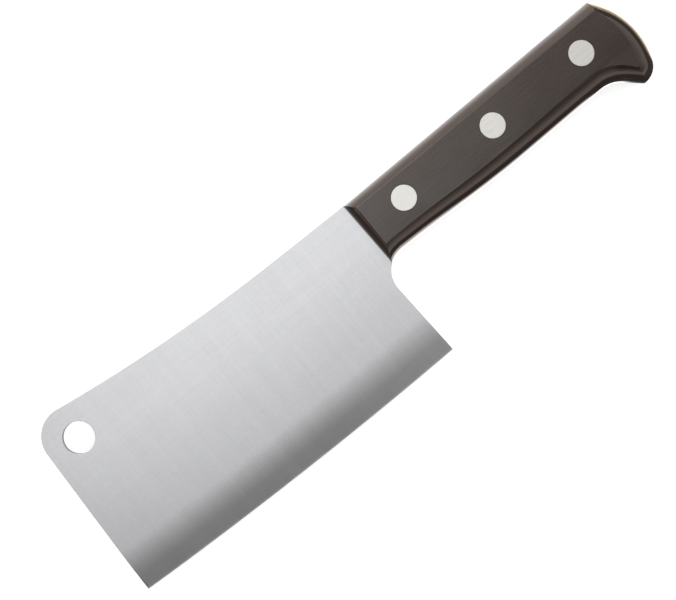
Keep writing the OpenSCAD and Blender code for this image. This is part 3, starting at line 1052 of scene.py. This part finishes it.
def area_lamp(name, width, height, place, aim, radiance):
    """A flat lamp of a given brightness, which the camera doesn't see."""
    data = bpy.data.lights.new(name, "AREA")
    data.shape = "RECTANGLE"
    data.size = width
    data.size_y = height
    data.energy = radiance * math.pi * width * height
    lamp = new_object(name, data)
    lamp.location = place
    lamp.rotation_euler = Vector(aim).to_track_quat("-Z", "Y").to_euler()
    lamp.visible_camera = False


def build_lights():
    """A soft light over the window, and a low one on the spine's side."""
    width = WINDOW_RIGHT - WINDOW_LEFT
    depth = 1.34
    middle = ((WINDOW_LEFT + WINDOW_RIGHT) / 2, WINDOW_LOW + depth / 2, CARD_HEIGHT + 0.05)
    area_lamp("window", width, depth, middle, (0.0, 0.0, -1.0), 0.49)
    area_lamp("side", 1.6, 0.6, (0.0, 0.95, 0.31), (0.0, -1.0, 0.0), 1.4)


# Operators

class CLEAVER_OT_stage(bpy.types.Operator):
    """Set up the floor, the light and the camera"""
    bl_idname = "cleaver.stage"
    bl_label = "Studio"

    def execute(self, context):
        scene = context.scene
        scene.view_settings.view_transform = "Standard"
        build_camera(scene)
        build_world(scene)
        build_lights()
        width = scene.cleaver_studio.floor_width
        stage_plane("floor", width, width, Matrix.Identity(4), floor_material())
        build_cards(scene)
        return {"FINISHED"}


class CLEAVER_OT_finishes(bpy.types.Operator):
    """Make the materials of the cleaver"""
    bl_idname = "cleaver.finishes"
    bl_label = "Finishes"

    def execute(self, context):
        scene = context.scene
        plan = Plan(scene)
        lines_group()
        passes_group()
        cloud_group()
        for build in (steel_material, scale_material, rivet_material):
            build(plan, scene.cleaver_finishes)
        return {"FINISHED"}


class CLEAVER_OT_steel(bpy.types.Operator):
    """Build the blade and the tang, one piece of steel"""
    bl_idname = "cleaver.steel"
    bl_label = "Blade and tang"

    def execute(self, context):
        bm = bmesh.new()
        steel_mesh(bm, Plan(context.scene))
        finish_piece(bm, "blade_and_tang", "blade", "ground_steel")
        return {"FINISHED"}


class CLEAVER_OT_scales(bpy.types.Operator):
    """Build the two handle scales"""
    bl_idname = "cleaver.scales"
    bl_label = "Handle scales"

    def execute(self, context):
        plan = Plan(context.scene)
        for side in ("left", "right"):
            bm = bmesh.new()
            scale_mesh(bm, plan, side + "_scale")
            finish_piece(bm, side + "_handle_scale", side + "_scale", "sanded_plastic")
        return {"FINISHED"}


class CLEAVER_OT_rivets(bpy.types.Operator):
    """Build the three rivets, each a pin and a tube"""
    bl_idname = "cleaver.rivets"
    bl_label = "Rivets"

    def execute(self, context):
        plan = Plan(context.scene)
        for place, x in plan.rivet_places.items():
            for half, build in (("pin", pin_mesh), ("tube", tube_mesh)):
                bm = bmesh.new()
                build(bm, plan, x)
                node = f"{place}_rivet_{half}"
                finish_piece(bm, node + "_half", node, "sanded_rivet")
        return {"FINISHED"}


class CLEAVER_PT_panel(bpy.types.Panel):
    """Sizes and colours of the cleaver, and what builds it"""
    bl_idname = "CLEAVER_PT_panel"
    bl_label = "Cleaver"
    bl_space_type = "VIEW_3D"
    bl_region_type = "UI"
    bl_category = "Cleaver"

    def draw(self, context):
        layout = self.layout
        for operator in OPERATORS:
            layout.operator(operator.bl_idname)
        for key, group in GROUPS.items():
            box = layout.box()
            box.label(text=group.__doc__)
            for name in group.__annotations__:
                box.prop(getattr(context.scene, key), name)


OPERATORS = (
    CLEAVER_OT_stage, CLEAVER_OT_finishes, CLEAVER_OT_steel, CLEAVER_OT_scales, CLEAVER_OT_rivets)
CLASSES = (*GROUPS.values(), *OPERATORS, CLEAVER_PT_panel)


def register():
    for item in CLASSES:
        bpy.utils.register_class(item)
    for key, group in GROUPS.items():
        setattr(bpy.types.Scene, key, bpy.props.PointerProperty(type=group))


def unregister():
    for key in GROUPS:
        delattr(bpy.types.Scene, key)
    for item in reversed(CLASSES):
        bpy.utils.unregister_class(item)


def main():
    """Registers the add-on and builds everything in order."""
    register()
    bpy.ops.cleaver.stage()
    bpy.ops.cleaver.finishes()
    bpy.ops.cleaver.steel()
    bpy.ops.cleaver.scales()
    bpy.ops.cleaver.rivets()


if __name__ == "__main__":
    main()
